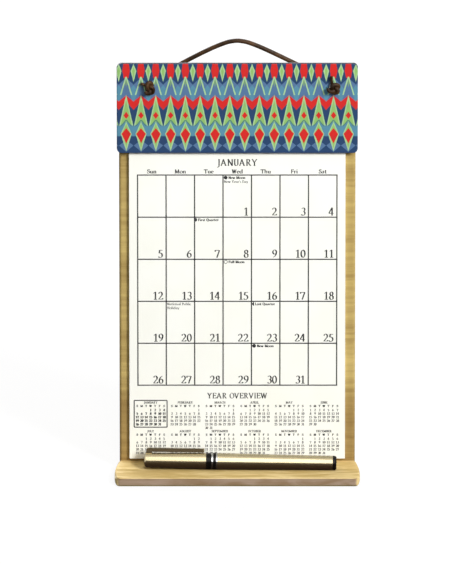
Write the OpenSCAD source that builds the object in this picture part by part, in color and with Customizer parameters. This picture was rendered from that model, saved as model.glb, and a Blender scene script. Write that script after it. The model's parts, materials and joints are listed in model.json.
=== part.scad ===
// Wall calendar on a wooden holder: a printed header board and a pad of month
// sheets laced to a back board, with a dished ledge that carries a capped pen.
// Seen from the front: +X right, +Y towards the wall, +Z up, millimetres.
// The origin is the point under the top of the lace where the wall nail bears.

/* [Header panel] */
// Width of the printed header panel
header_w = 178; // [165:0.5:230]
// Height of the header panel
header_h = 69.7; // [50:0.1:110]
// Thickness of the header panel
header_t = 3.2; // [2:0.1:5]
// Corner radius of the header panel
header_corner_r = 4; // [2:0.1:10]
// Rounding of the header's edges, front and back
header_edge_r = 0.8; // [0.3:0.1:1.4]
// Height of the hang point above the header's top edge
hang_rise = 11.5; // [8:0.5:40]

/* [Back board] */
// Width of the back board
board_w = 174.8; // [164:0.1:220]
// Height of the back board
board_h = 315.5; // [260:0.5:420]
// Thickness of the back board
board_t = 6.4; // [5:0.1:9]
// Corner radius at the top of the back board
board_corner_r = 5; // [2:0.5:12]
// Rounding of the back board's long edges
board_edge_r = 2; // [0.3:0.1:2.2]
// Distance of the board's top below the header's top
board_drop = 4; // [2:0.5:10]

/* [Calendar pad] */
// Width of the pad of month sheets
pad_w = 160; // [148:0.5:164]
// Thickness of the pad
pad_t = 2.4; // [1:0.1:5]
// Distance of the pad's top below the header's top
pad_drop = 5; // [3:0.5:10]
// Open gap between the pad's bottom edge and the ledge
pad_gap = 2.5; // [1:0.1:8]

/* [Pen ledge] */
// Width of the ledge at the widest place of its bowed ends
ledge_w = 182; // [176:0.5:240]
// Depth of the ledge in front of the board
ledge_d = 39; // [34:0.5:60]
// Thickness of the ledge
ledge_t = 6.9; // [6.8:0.1:9]
// Distance of the ledge's widest place from its front edge
ledge_widest = 13; // [8:0.5:20]
// How far each bowed end draws in from the widest place to the board
ledge_bow = 2.6; // [1:0.1:5]
// How far the bow is flattened at the widest place
ledge_flat = 0.1; // [0.05:0.05:0.3]
// Rounding of the ledge's ends along their upper edge
ledge_end_top_r = 2.8; // [1:0.1:2.9]
// Rounding of the ledge's ends along their lower edge
ledge_end_low_r = 3.7; // [1:0.1:3.8]
// Radius of the ledge's front corners, seen from above
ledge_front_r = 4.5; // [2:0.1:7]
// Bevel along the ledge's upper front edge
ledge_top_bevel = 0.4; // [0.3:0.1:1.5]
// Bevel along the ledge's lower front edge
ledge_low_bevel = 1.6; // [0.3:0.1:2]
// Depth of the shallow dish that holds the pen
dish_depth = 1.5; // [0.5:0.1:2]
// Distance of the dish's lowest line from the pad's face
dish_from_pad = 12.1; // [11:0.1:16]

/* [Ledge nails] */
// Shank diameter of the nails that hold the ledge
nail_d = 1.6; // [1:0.1:2.2]
// Length of the nails
nail_len = 20; // [14:0.5:28]
// Head diameter of the nails
nail_head_d = 3; // [2.4:0.1:4]
// Head thickness of the nails
nail_head_t = 0.9; // [0.5:0.1:1.5]
// Distance of the outer nails from the ledge's ends
nail_inset = 28.5; // [15:0.5:45]

/* [Lace] */
// Thickness of the leather lace
lace_d = 3.4; // [2:0.1:4]
// Diameter of the lace holes
lace_hole_d = 7; // [6:0.1:8]
// Distance between the two lace holes
lace_hole_pitch = 136; // [90:1:140]
// Distance of the two holes' middle from the header's middle, to the right
lace_hole_shift = 3.2; // [-5:0.2:5]
// Distance of the lace holes below the header's top edge
lace_hole_drop = 18.5; // [14:0.5:30]
// Roundness of the lace's loop at its top
lace_loop_r = 6.5; // [4:0.5:15]
// Diameter of the knots on the header's face
knot_d = 11; // [9:0.1:14]
// Height of the knots above the header's face
knot_h = 5.6; // [4:0.1:8]
// Length of the loose lace end beyond a knot
knot_tail = 3.4; // [2:0.1:8]

/* [Pen cap] */
// Length of the cap with its lip band
cap_len = 49.7; // [46:0.1:70]
// Outer diameter at the closed end of the cap
cap_end_d = 11; // [10.4:0.1:12]
// Wall of the cap at its closed end
cap_wall = 0.7; // [0.5:0.05:0.9]
// Thickness of the cap's closed end
cap_end_t = 2.4; // [1.5:0.1:4]
// Bevel round the cap's closed end
cap_end_r = 0.9; // [0.3:0.1:1.4]
// Width of the dark band on the cap's lip
band_w = 3.9; // [2:0.1:6]
// Thickness of the dark band on the cap's lip
band_t = 0.5; // [0.3:0.05:0.6]
// Step from the collar down to the cap's lip
lip_step = 0.1; // [0.05:0.05:0.3]

/* [Pen clip] */
// Width of the clip
clip_w = 2.8; // [2.4:0.1:5]
// Depth of the clip's folded sides
clip_t = 3; // [2:0.1:4]
// Thickness of the clip's sheet
clip_sheet = 0.5; // [0.3:0.05:0.7]
// Bevel across the top of the clip's root
clip_bevel = 1; // [0.4:0.1:2]
// Space between the clip's sides and the cap's lip diameter
clip_gap = 0.4; // [0.2:0.1:1.5]
// Distance of the clip's root from the cap's closed end
clip_start = 1.3; // [1.2:0.1:4]
// Length of the clip
clip_len = 43.3; // [30:0.1:44]
// Length of the clip's root
clip_root = 4.2; // [3:0.1:8]
// Radius of the ball under the clip's free end
clip_ball_r = 1.1; // [0.9:0.05:1.2]
// Turn of the clip from straight up towards the board
clip_turn = 9; // [0:1:30]

/* [Pen body] */
// Greatest diameter of the pen, at its collar
pen_d = 12.4; // [12:0.1:13]
// Length of the collar between cap and barrel
collar_len = 4.4; // [4.2:0.1:8]
// Width of the dark ring let into the collar
ring_w = 2.2; // [1:0.1:2.4]
// Depth of the dark ring let into the collar
ring_t = 0.8; // [0.4:0.05:1.2]
// Distance of the dark ring from the collar's cap end
ring_start = 1.2; // [0.6:0.1:1.5]
// Length of the barrel
barrel_len = 85.6; // [78:0.1:100]
// Outer diameter at the tail of the barrel
tail_d = 10.6; // [9.6:0.1:11.2]
// Bore of the barrel
barrel_bore_d = 8; // [7.4:0.1:8.4]
// Length of the end plug that shows
plug_len = 2.8; // [1:0.1:5]
// Length of the plug's spigot inside the barrel
plug_spigot = 8; // [4:0.1:12]
// Bevel round the plug's outer edge
plug_edge_r = 0.9; // [0.3:0.1:0.95]
// Distance of the pen's cap end left of the middle
pen_left = 69; // [60:0.5:76]
// Angle by which the pen lies askew, its cap end nearer to the board
pen_skew = 0.95; // [0:0.05:1]

/* [Pen writing end] */
// Length of the grip in front of the collar
grip_len = 28; // [24:0.1:30]
// Diameter at the front of the grip
grip_front_d = 8; // [7.4:0.1:8.4]
// Length of the grip's spigot inside the barrel
grip_spigot = 11; // [8:0.1:16]
// Length of the metal tip cone
tip_len = 12.4; // [9:0.1:13]
// Diameter at the back of the tip cone
tip_d = 6.8; // [5:0.1:7.2]
// Radius of the writing ball
ball_r = 0.45; // [0.3:0.05:0.6]
// Diameter of the ink refill
refill_d = 6; // [4:0.1:6.4]
// Length of the wide part of the ink refill
refill_len = 68; // [50:1:70]
// Distance of the refill's shoulder behind the collar
refill_set = 2.8; // [1:0.1:5]
// Diameter of the refill's feed rod
feed_d = 2.4; // [1.5:0.1:3]

/* [Clearances] */
// Space between the lace and the back of the board
lace_gap = 0.3; // [0.2:0.05:0.6]
// Space between the lace and the wall of its holes
lace_room = 0.1; // [0.05:0.05:0.4]
// Space all round a piece that is pushed into another
seat = 0.02; // [0.01:0.01:0.05]
// Radial space between the grip and the cap
cap_clearance = 0.3; // [0.2:0.05:0.4]
// Space between the cap's lip and the collar when closed
cap_seat = 0.2; // [0.1:0.05:0.4]
// Space between the pen and the dish under it
pen_seat = 0.15; // [0.1:0.05:0.3]

/* [Hidden] */
$fn = 64;
// Overshoot of a cutting shape past the face that it cuts
over = 1;

// Layers from the wall to the front
board_back = -(lace_d / 2 + lace_gap);
board_front = board_back - board_t;
pad_front = board_front - pad_t;
header_front = pad_front - header_t;
ledge_front = board_front - ledge_d;

// Heights
header_top = -hang_rise;
board_top = header_top - board_drop;
board_bottom = board_top - board_h;
ledge_top = board_bottom + ledge_t;
pad_top = header_top - pad_drop;
pad_bottom = ledge_top + pad_gap;
lace_hole_z = header_top - lace_hole_drop;

// Dish in the ledge: two flat slopes that meet in its lowest line
dish_y = pad_front - dish_from_pad;
dish_z = ledge_top - dish_depth;
dish_back_slope = atan(dish_depth / (board_front - dish_y));
dish_front_slope = atan(dish_depth / (dish_y - ledge_front));

// Bow of the ledge's ends, seen from above
ledge_behind = ledge_d - ledge_widest;
ledge_bow_r = (pow(ledge_behind, 2) + pow(ledge_bow, 2)) / (2 * ledge_bow);
ledge_bow_x = ledge_w / 2 + ledge_flat - ledge_bow_r;

// Nails run through the board into the thinnest part of the ledge
nail_spread = ledge_w / 2 - nail_inset;
nail_z = board_bottom + (ledge_t - dish_depth) / 2;

// Stations along the pen, from the cap's closed end to the tail
lip_s = cap_len;
collar_s = lip_s + cap_seat;
barrel_s = collar_s + collar_len;
tail_s = barrel_s + barrel_len;
pen_end_s = tail_s + plug_len;
grip_s = collar_s - grip_len;
tip_s = grip_s - tip_len;
refill_s = barrel_s + refill_set;

// Radii of the pen
collar_r = pen_d / 2;
lip_r = collar_r - lip_step;
cap_end_outer_r = cap_end_d / 2;
cap_bore_r = cap_end_outer_r - cap_wall;
spigot_r = lip_r - band_t;
grip_r = cap_bore_r - cap_clearance;
bore_r = barrel_bore_d / 2;
tail_r = tail_d / 2;

// The pen rests on its collar and its plug, so its tail lies a little lower
pen_tilt = asin((collar_r - tail_r) / (tail_s - collar_s));
dish_half_slope = (dish_back_slope + dish_front_slope) / 2;
dish_lean = (dish_back_slope - dish_front_slope) / 2;
pen_rest = (collar_r + pen_seat) / cos(dish_half_slope);
pen_y = dish_y - pen_rest * sin(dish_lean) + collar_s * sin(pen_skew);
pen_z = dish_z + pen_rest * cos(dish_lean) + collar_s * sin(pen_tilt);

// The lace's loop is a hyperbola from its top to the middle of a hole
lace_top_z = lace_d / 2;
lace_reach = lace_hole_pitch / 2;
lace_fall = lace_top_z - lace_hole_z + lace_loop_r;
lace_slope = sqrt(pow(lace_fall, 2) - pow(lace_loop_r, 2)) / lace_reach;

// The lace turns out of the loop into a hole with a bend of twice its thickness
lace_bend_r = 2 * lace_d;
lace_play = (lace_hole_d - lace_d) / 2 - lace_room;
lace_sides = 8;

wood_light = "BurlyWood";
wood_dark = "Tan";
pen_gold = [0.72, 0.64, 0.46];
pen_black = [0.09, 0.08, 0.07];
pen_silver = [0.8, 0.8, 0.78];
leather = [0.2, 0.13, 0.08];

// Rectangle that stands on the X axis, with its own radius for the low and the high corners
module soft_rectangle(w, h, low_r, high_r) {
    translate([-w / 2, low_r]) square([w, h - low_r - high_r]);
    translate([-w / 2 + low_r, 0]) square([w - 2 * low_r, h / 2]);
    translate([-w / 2 + high_r, h / 2]) square([w - 2 * high_r, h / 2]);
    for (side = [-1, 1]) {
        translate([side * (w / 2 - low_r), low_r]) circle(low_r);
        translate([side * (w / 2 - high_r), h - high_r]) circle(high_r);
    }
}

// Turns an outline drawn in X and Z into a plate between two distances from the wall
module plate(front, back) {
    translate([0, back, 0]) rotate([90, 0, 0]) linear_extrude(back - front) children();
}

// Turns an outline drawn in Y and Z into a bar across the whole width
module bar(w) {
    translate([-w / 2, 0, 0]) rotate([90, 0, 90]) linear_extrude(w) children();
}

// Place of the lace hole of one side, -1 left, 1 right
function lace_hole_x(side) = lace_hole_shift + side * lace_reach;

// The two holes that the lace runs through, as cutters from front to back
module lace_holes(front, back) {
    for (side = [-1, 1])
        translate([lace_hole_x(side), back + over, lace_hole_z])
            rotate([90, 0, 0]) cylinder(d = lace_hole_d, h = back - front + 2 * over);
}

// Places children at the nail of one side, -1 left, 0 middle, 1 right, pointing forwards
module at_nail(side) {
    translate([side * nail_spread, board_back, nail_z]) rotate([90, 0, 0]) children();
}

// Nail shank and head; grow widens it into the hole that it fills
module nail_shape(grow) {
    cylinder(d = nail_d + 2 * grow, h = nail_len + grow);
    cylinder(d = nail_head_d + 2 * grow, h = nail_head_t + grow);
}

module nail_holes() {
    for (side = [-1, 0, 1]) at_nail(side) {
        nail_shape(seat);
        translate([0, 0, -over]) cylinder(d = nail_head_d + 2 * seat, h = over + nail_head_t / 2);
    }
}

module back_board() {
    color(wood_light) difference() {
        intersection() {
            plate(board_front, board_back)
                translate([0, board_bottom])
                    soft_rectangle(board_w, board_h, board_edge_r, board_corner_r);
            translate([0, board_front, board_bottom])
                linear_extrude(board_h)
                    soft_rectangle(board_w, board_t, board_edge_r, board_edge_r);
        }
        lace_holes(board_front, board_back);
        nail_holes();
    }
}

// Cross-section of the ledge in Y and Z: dished on top, bevelled along the front
module ledge_section() {
    polygon([
        [board_front, board_bottom],
        [board_front, ledge_top],
        [dish_y, dish_z],
        [ledge_front + ledge_top_bevel, ledge_top - ledge_top_bevel * tan(dish_front_slope)],
        [ledge_front, ledge_top - ledge_top_bevel],
        [ledge_front, board_bottom + ledge_low_bevel],
        [ledge_front + ledge_low_bevel, board_bottom],
    ]);
}

// Disc with a rounded rim, whose outer part is the bowed end of one side
module ledge_end(side) {
    translate([side * ledge_bow_x, ledge_front + ledge_widest, board_bottom])
        rotate_extrude() intersection() {
            soft_rectangle(2 * ledge_bow_r, ledge_t, ledge_end_low_r, ledge_end_top_r);
            square([ledge_bow_r, ledge_t]);
        }
}

module pen_ledge() {
    color(wood_dark) difference() {
        intersection() {
            bar(ledge_w + 2 * over) ledge_section();
            // Front corners seen from above; the back ones lie behind the board's face
            translate([0, ledge_front, board_bottom])
                linear_extrude(ledge_t)
                    soft_rectangle(ledge_w, ledge_d + ledge_front_r, ledge_front_r, ledge_front_r);
            ledge_end(-1);
            ledge_end(1);
        }
        nail_holes();
    }
}

module ledge_nail(side) {
    color("DimGray") at_nail(side) nail_shape(0);
}

module calendar_pad() {
    color("Ivory") difference() {
        plate(pad_front, board_front)
            translate([-pad_w / 2, pad_bottom]) square([pad_w, pad_top - pad_bottom]);
        lace_holes(pad_front, board_front);
    }
}

module header_panel() {
    color("IndianRed") difference() {
        intersection() {
            plate(header_front, pad_front)
                translate([0, header_top - header_h])
                    soft_rectangle(header_w, header_h, header_corner_r, header_corner_r);
            // Rounded edges at the two sides
            translate([0, header_front, header_top - header_h])
                linear_extrude(header_h)
                    soft_rectangle(header_w, header_t, header_edge_r, header_edge_r);
            // Rounded edges at the top and the bottom
            bar(header_w)
                translate([header_front, header_top - header_h / 2])
                    rotate(-90)
                        soft_rectangle(header_h, header_t, header_edge_r, header_edge_r);
        }
        lace_holes(header_front, pad_front);
    }
}

function unit(v) = v / norm(v);

// Point of the loop on one side, from its top at share 0 to the middle of a hole at share 1
function loop_point(side, share) =
    let (reach = share * lace_reach)
    [
        side * reach + lace_hole_shift * pow(share, 3),
        0,
        lace_top_z + lace_loop_r - norm([lace_slope * reach, lace_loop_r]),
    ];

// Way that the lace leaves the hole of one side, along the back of the board
function loop_way(side) = unit(loop_point(side, 0.95) - loop_point(side, 1));

// Point of the bend behind the hole of one side, from 0 in the hole to 90 along the board
function bend_point(side, turn) =
    loop_point(side, 1)
    + (lace_bend_r * (1 - cos(turn)) - lace_play) * loop_way(side)
    - [0, lace_bend_r * (1 - sin(turn)), 0];

// Half of the lace's route, from the knot on the header's face to the loop below its top
function lace_half(side) =
    let (in_hole = bend_point(side, 0))
    concat(
        [[in_hole.x, header_front, in_hole.z]],
        [for (turn = [0:30:90]) bend_point(side, turn)],
        [for (share = [0.85:-0.1:0.15]) loop_point(side, share)],
        [loop_point(side, 0.08)]
    );

right_half = lace_half(1);
lace_route = concat(
    lace_half(-1),
    [loop_point(1, 0)],
    [for (i = [len(right_half) - 1:-1:0]) right_half[i]]
);

// Direction of the lace at point i of its route
function lace_direction(i) =
    let (last = len(lace_route) - 1)
    unit(lace_route[min(i + 1, last)] - lace_route[max(i - 1, 0)]);

// Ring of points round the lace at point i of its route
function lace_ring(i) =
    let (
        ahead = lace_direction(i),
        across = unit(cross([0, 0, 1], ahead)),
        upwards = cross(ahead, across)
    )
    [
        for (k = [0:lace_sides - 1])
            let (turn = 360 * k / lace_sides)
            lace_route[i] + lace_d / 2 * (cos(turn) * across + sin(turn) * upwards)
    ];

module hanging_lace() {
    rings = len(lace_route);
    first_end = [for (k = [0:lace_sides - 1]) k];
    last_end = [for (k = [lace_sides - 1:-1:0]) (rings - 1) * lace_sides + k];
    walls = [
        for (i = [0:rings - 2], k = [0:lace_sides - 1])
            let (
                here = i * lace_sides,
                ahead = here + lace_sides,
                next = (k + 1) % lace_sides
            )
            each [
                [here + k, ahead + k, ahead + next],
                [here + k, ahead + next, here + next],
            ]
    ];
    color(leather) polyhedron(
        [for (i = [0:rings - 1]) each lace_ring(i)],
        concat([first_end, last_end], walls)
    );
}

// Knot as a domed button on the header's face, with the loose end beside it
module lace_knot(side) {
    dome_r = knot_h / 2;
    tail_lean = side < 0 ? 125 : 95;
    color(leather) translate([lace_hole_x(side), header_front, lace_hole_z]) rotate([90, 0, 0]) {
        rotate_extrude() intersection() {
            union() {
                square([knot_d / 2 - dome_r, knot_h]);
                translate([knot_d / 2 - dome_r, dome_r]) circle(dome_r);
            }
            square([knot_d, knot_h]);
        }
        rotate([0, 0, tail_lean]) translate([0, 0, dome_r])
            rotate([0, 90, 0]) cylinder(d = lace_d, h = knot_d / 2 + knot_tail);
    }
}

// Places children that stand on Z from the cap's closed end to the tail
module along_pen() {
    translate([-pen_left, pen_y, pen_z]) rotate([0, 90 + pen_tilt, -pen_skew]) children();
}

// Radius of the cap's outside at a station between its closed end and its lip
function cap_r(s) = cap_end_outer_r + (lip_r - cap_end_outer_r) * s / cap_len;

// Outside of the cap with its band in place; grow makes the cutter for the clip's saddle
module cap_outside(grow) {
    rotate_extrude() polygon([
        [0, -grow],
        [cap_end_outer_r - cap_end_r, -grow],
        [cap_end_outer_r + grow, cap_end_r],
        [lip_r + grow, cap_len],
        [0, cap_len],
    ]);
}

module pen_cap() {
    band_s = cap_len - band_w;
    color(pen_gold) along_pen() difference() {
        cap_outside(0);
        translate([0, 0, cap_end_t]) cylinder(r = cap_bore_r, h = cap_len);
        // Turned-down seat of the lip band
        translate([0, 0, band_s]) difference() {
            cylinder(r = lip_r + over, h = band_w + over);
            translate([0, 0, -over]) cylinder(r = spigot_r, h = band_w + 3 * over);
        }
    }
}

module pen_lip_band() {
    band_s = cap_len - band_w;
    color(pen_black) along_pen() rotate_extrude() polygon([
        [spigot_r + seat, band_s],
        [cap_r(band_s), band_s],
        [lip_r, cap_len],
        [spigot_r + seat, cap_len],
    ]);
}

// Clip seen from its side, with the pen's axis along Y: root, arm and free end
module clip_side() {
    arm_low = lip_r + clip_gap;
    arm_high = arm_low + clip_t;
    end_s = clip_start + clip_len;
    polygon([
        [0, clip_start],
        [arm_high - clip_bevel, clip_start],
        [arm_high, clip_start + clip_bevel],
        [arm_high, end_s],
        [arm_low, end_s],
        [arm_low, clip_start + clip_root],
        [0, clip_start + clip_root],
    ]);
}

// Clip seen from above, from a station to its round free end; inset draws it in all round
module clip_top(from, inset) {
    end_s = clip_start + clip_len - clip_w / 2;
    translate([inset - clip_w / 2, from]) square([clip_w - 2 * inset, end_s - from]);
    translate([0, end_s]) circle(d = clip_w - 2 * inset);
}

module pen_clip() {
    web_low = lip_r + clip_gap + clip_t - clip_sheet;
    ball_s = clip_start + clip_len - clip_w / 2;
    color(pen_gold) along_pen() rotate([0, 0, 180 - clip_turn]) {
        difference() {
            intersection() {
                rotate([90, 0, 0]) linear_extrude(clip_w, center = true) clip_side();
                rotate([90, 0, 90]) linear_extrude(web_low + clip_sheet + over) clip_top(0, 0);
            }
            // Channel between the folded sides
            rotate([90, 0, 90]) linear_extrude(web_low) clip_top(clip_start + clip_root, clip_sheet);
            cap_outside(seat);
        }
        translate([cap_r(ball_s) + seat + clip_ball_r, 0, ball_s]) sphere(clip_ball_r);
    }
}

module pen_collar() {
    color(pen_silver) along_pen() rotate_extrude() polygon([
        [bore_r, collar_s],
        [collar_r, collar_s],
        [collar_r, collar_s + ring_start],
        [collar_r - ring_t, collar_s + ring_start],
        [collar_r - ring_t, collar_s + ring_start + ring_w],
        [collar_r, collar_s + ring_start + ring_w],
        [collar_r, barrel_s],
        [bore_r, barrel_s],
    ]);
}

module pen_collar_ring() {
    color(pen_black) along_pen() rotate_extrude()
        translate([collar_r - ring_t + seat, collar_s + ring_start + seat])
            square([ring_t - seat, ring_w - 2 * seat]);
}

module pen_barrel() {
    color(pen_gold) along_pen() rotate_extrude() polygon([
        [bore_r, barrel_s],
        [collar_r, barrel_s],
        [tail_r, tail_s],
        [bore_r, tail_s],
    ]);
}

module pen_end_plug() {
    color(pen_black) along_pen() rotate_extrude() polygon([
        [0, tail_s - plug_spigot],
        [bore_r - seat, tail_s - plug_spigot],
        [bore_r - seat, tail_s],
        [tail_r, tail_s],
        [tail_r, pen_end_s - plug_edge_r],
        [tail_r - plug_edge_r, pen_end_s],
        [0, pen_end_s],
    ]);
}

module pen_grip() {
    color(pen_black) along_pen() rotate_extrude() polygon([
        [feed_d / 2 + seat, grip_s],
        [grip_front_d / 2, grip_s],
        [grip_r, collar_s],
        [bore_r - seat, collar_s],
        [bore_r - seat, barrel_s + grip_spigot],
        [refill_d / 2 + seat, barrel_s + grip_spigot],
        [refill_d / 2 + seat, refill_s],
        [feed_d / 2 + seat, refill_s],
    ]);
}

module pen_tip() {
    color(pen_silver) along_pen() {
        translate([0, 0, tip_s]) cylinder(r1 = ball_r, r2 = tip_d / 2, h = tip_len);
        translate([0, 0, tip_s]) sphere(ball_r);
    }
}

module pen_refill() {
    color("Navy") along_pen() rotate_extrude() polygon([
        [0, grip_s],
        [feed_d / 2, grip_s],
        [feed_d / 2, refill_s],
        [refill_d / 2, refill_s],
        [refill_d / 2, refill_s + refill_len],
        [0, refill_s + refill_len],
    ]);
}

back_board();
pen_ledge();
ledge_nail(-1);  // ledge_nail_left
ledge_nail(0);  // ledge_nail_middle
ledge_nail(1);  // ledge_nail_right
calendar_pad();
header_panel();
hanging_lace();
lace_knot(-1);  // lace_knot_left
lace_knot(1);  // lace_knot_right
pen_cap();
pen_clip();
pen_lip_band();
pen_barrel();
pen_collar();
pen_collar_ring();
pen_grip();
pen_tip();
pen_refill();
pen_end_plug();
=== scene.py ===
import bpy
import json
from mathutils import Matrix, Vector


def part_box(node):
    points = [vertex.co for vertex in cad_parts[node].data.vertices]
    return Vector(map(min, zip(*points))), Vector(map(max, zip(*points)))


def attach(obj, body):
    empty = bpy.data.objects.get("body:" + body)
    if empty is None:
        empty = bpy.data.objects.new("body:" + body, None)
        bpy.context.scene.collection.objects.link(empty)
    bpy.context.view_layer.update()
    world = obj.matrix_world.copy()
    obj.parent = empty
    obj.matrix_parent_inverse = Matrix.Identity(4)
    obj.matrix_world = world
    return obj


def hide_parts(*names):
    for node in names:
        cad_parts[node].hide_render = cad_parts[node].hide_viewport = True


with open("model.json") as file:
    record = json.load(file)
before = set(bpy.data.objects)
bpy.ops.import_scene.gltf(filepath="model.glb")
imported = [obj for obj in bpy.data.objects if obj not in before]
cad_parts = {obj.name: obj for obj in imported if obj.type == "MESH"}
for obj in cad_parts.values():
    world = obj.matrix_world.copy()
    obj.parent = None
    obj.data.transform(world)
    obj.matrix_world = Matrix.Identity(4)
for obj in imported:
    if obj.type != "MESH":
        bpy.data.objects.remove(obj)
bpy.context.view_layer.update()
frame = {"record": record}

import calendar
import json
import math

import bmesh
import bpy
from mathutils import Vector

MM = 0.001
BODY = "calendar_body"


def corners(node):
    """Lowest and highest corner of a CAD node."""
    low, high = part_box(node)
    return Vector(low), Vector(high)


HEADER_LOW, HEADER_HIGH = corners("header_panel")
PAD_LOW = corners("calendar_pad")[0]
LEDGE_LOW, LEDGE_HIGH = corners("pen_ledge")

# Camera: a long lens from above the middle, as in the photograph

CAMERA_ELEVATION = math.radians(19)
CAMERA_DISTANCE = 12.0
PICTURE_HEIGHT = 0.4178
AIM = Vector((-0.0002, -0.010, -0.1831))


def make_camera():
    data = bpy.data.cameras.new("camera")
    data.lens = data.sensor_width * CAMERA_DISTANCE / PICTURE_HEIGHT
    data.clip_end = 3 * CAMERA_DISTANCE
    camera = bpy.data.objects.new("camera", data)
    back = Vector((0, -math.cos(CAMERA_ELEVATION), math.sin(CAMERA_ELEVATION)))
    camera.location = AIM + CAMERA_DISTANCE * back
    camera.rotation_euler = (-back).to_track_quat("-Z", "Y").to_euler()
    bpy.context.collection.objects.link(camera)
    bpy.context.scene.camera = camera


make_camera()

# Leather lace from knot to knot, along the route of its CAD solid: a loop behind
# the board that bends through a hole on each side

LACE_DIAMETER = 3.4 * MM
LACE_BEND = 2 * LACE_DIAMETER
LACE_TOP = LACE_DIAMETER / 2
LOOP_ROUNDNESS = 6.5 * MM
HOLE_DIAMETER = 7 * MM
HOLE_ROOM = 0.1 * MM
HOLE_REACH = 68 * MM
HOLE_SHIFT = 3.2 * MM
HOLE_HEIGHT = HEADER_HIGH.z - 18.5 * MM
STEPS_PER_POINT = 6


def loop_point(side, share):
    """Point of the loop from its top, share 0, to the middle of a hole, share 1."""
    fall = LACE_TOP - HOLE_HEIGHT + LOOP_ROUNDNESS
    slope = math.sqrt(fall ** 2 - LOOP_ROUNDNESS ** 2)
    drop = math.hypot(slope * share, LOOP_ROUNDNESS) - LOOP_ROUNDNESS
    return Vector((side * HOLE_REACH * share + HOLE_SHIFT * share ** 3, 0, LACE_TOP - drop))


def bend_point(side, turn):
    """Point of the bend behind a hole, from 0 degrees in the hole to 90 along the board."""
    turn = math.radians(turn)
    hole = loop_point(side, 1)
    way = (loop_point(side, 0.95) - hole).normalized()
    play = (HOLE_DIAMETER - LACE_DIAMETER) / 2 - HOLE_ROOM
    forwards = Vector((0, -LACE_BEND * (1 - math.sin(turn)), 0))
    return hole + (LACE_BEND * (1 - math.cos(turn)) - play) * way + forwards


def lace_half(side):
    """Points from the knot on the header's face to the loop below its top."""
    in_hole = bend_point(side, 0)
    points = [Vector((in_hole.x, HEADER_LOW.y, in_hole.z))]
    points += [bend_point(side, turn) for turn in (0, 30, 60, 90)]
    points += [loop_point(side, share / 100) for share in range(85, 10, -10)]
    return points + [loop_point(side, 0.08)]


LACE_ROUTE = lace_half(-1) + [loop_point(1, 0)] + lace_half(1)[::-1]


def smooth_path(points, steps):
    """Points of a Catmull-Rom curve through the given points."""
    path = []
    for i in range(len(points) - 1):
        before = points[max(i - 1, 0)]
        start, end = points[i], points[i + 1]
        after = points[min(i + 2, len(points) - 1)]
        for k in range(steps):
            t = k / steps
            path.append(0.5 * (
                2 * start
                + (end - before) * t
                + (2 * before - 5 * start + 4 * end - after) * t ** 2
                + (3 * start - before - 3 * end + after) * t ** 3
            ))
    path.append(points[-1])
    return path


def path_length(path):
    return sum((b - a).length for a, b in zip(path, path[1:]))


def cord_curve(name, path, diameter, thin_end=0):
    """Round cord along a path, as one curve; the last thin_end points are drawn thinner."""
    data = bpy.data.curves.new(name, "CURVE")
    data.dimensions = "3D"
    # The points carry the radius, since a curve's box reaches that far round each point
    data.bevel_depth = 1
    data.bevel_resolution = 5
    data.use_fill_caps = True
    spline = data.splines.new("POLY")
    spline.points.add(len(path) - 1)
    for point, place in zip(spline.points, path):
        point.co = (*place, 1)
        point.radius = diameter / 2
    for point in list(spline.points)[len(path) - thin_end:]:
        point.radius = TAIL_THINNESS * diameter / 2
    spline.use_smooth = True
    cord = bpy.data.objects.new(name, data)
    bpy.context.collection.objects.link(cord)
    return cord


# Overhand knots: three lobes of lace wound round the hole, then a loose end

KNOT_RING = 2.6 * MM
KNOT_LOBE = 1.3 * MM
KNOT_DIAMETER = 2.9 * MM
KNOT_STEPS = 60
KNOT_SHAPE = {
    "left": {"wide": 0.8, "high": 1.2, "turn": 205, "tail_turn": 152, "tail": 4.6 * MM},
    "right": {"wide": 1.08, "high": 0.92, "turn": 172, "tail_turn": 92, "tail": 6.8 * MM},
}
KNOT_START = 0.04
KNOT_OPENING = 0.5
KNOT_SMOOTHING = 3
TAIL_FORWARDS = 0.1
TAIL_THINNESS = 0.72
TAIL_POINTS = 6


def knot_path(side):
    """Open trefoil on the header's face, with its loose end last."""
    shape = KNOT_SHAPE[side]
    hole = loop_point(-1 if side == "left" else 1, 1)
    face = HEADER_LOW.y - KNOT_LOBE - KNOT_DIAMETER / 2
    path = []
    for k in range(KNOT_STEPS):
        angle = KNOT_START + (2 * math.pi - KNOT_OPENING) * k / (KNOT_STEPS - 1)
        reach = KNOT_RING + KNOT_LOBE * math.cos(3 * angle)
        turn = 2 * angle + math.radians(shape["turn"])
        path.append(Vector((
            hole.x + shape["wide"] * reach * math.cos(turn),
            face - KNOT_LOBE * math.sin(3 * angle),
            hole.z + shape["high"] * reach * math.sin(turn),
        )))
    lean = math.radians(shape["tail_turn"])
    tail = Vector((math.cos(lean), -TAIL_FORWARDS, math.sin(lean))) * shape["tail"]
    path += [path[-1] + tail / 2, path[-1] + tail]
    return smooth_path(path, KNOT_SMOOTHING)


lace_path = smooth_path(LACE_ROUTE, STEPS_PER_POINT)
lace = cord_curve("leather_lace", lace_path, LACE_DIAMETER)
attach(lace, BODY)
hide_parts("hanging_lace")

knots = []
for side in ("left", "right"):
    knot = cord_curve(f"overhand_knot_{side}", knot_path(side), KNOT_DIAMETER, TAIL_POINTS)
    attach(knot, BODY)
    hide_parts(f"lace_knot_{side}")
    knots.append(knot)

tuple(LACE_ROUTE[0])
path_length(lace_path)

# Materials


def srgb(red, green, blue):
    """Linear colour of an 8-bit screen colour."""
    def linear(value):
        value /= 255
        return value / 12.92 if value <= 0.04045 else ((value + 0.055) / 1.055) ** 2.4
    return (linear(red), linear(green), linear(blue), 1)


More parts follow.
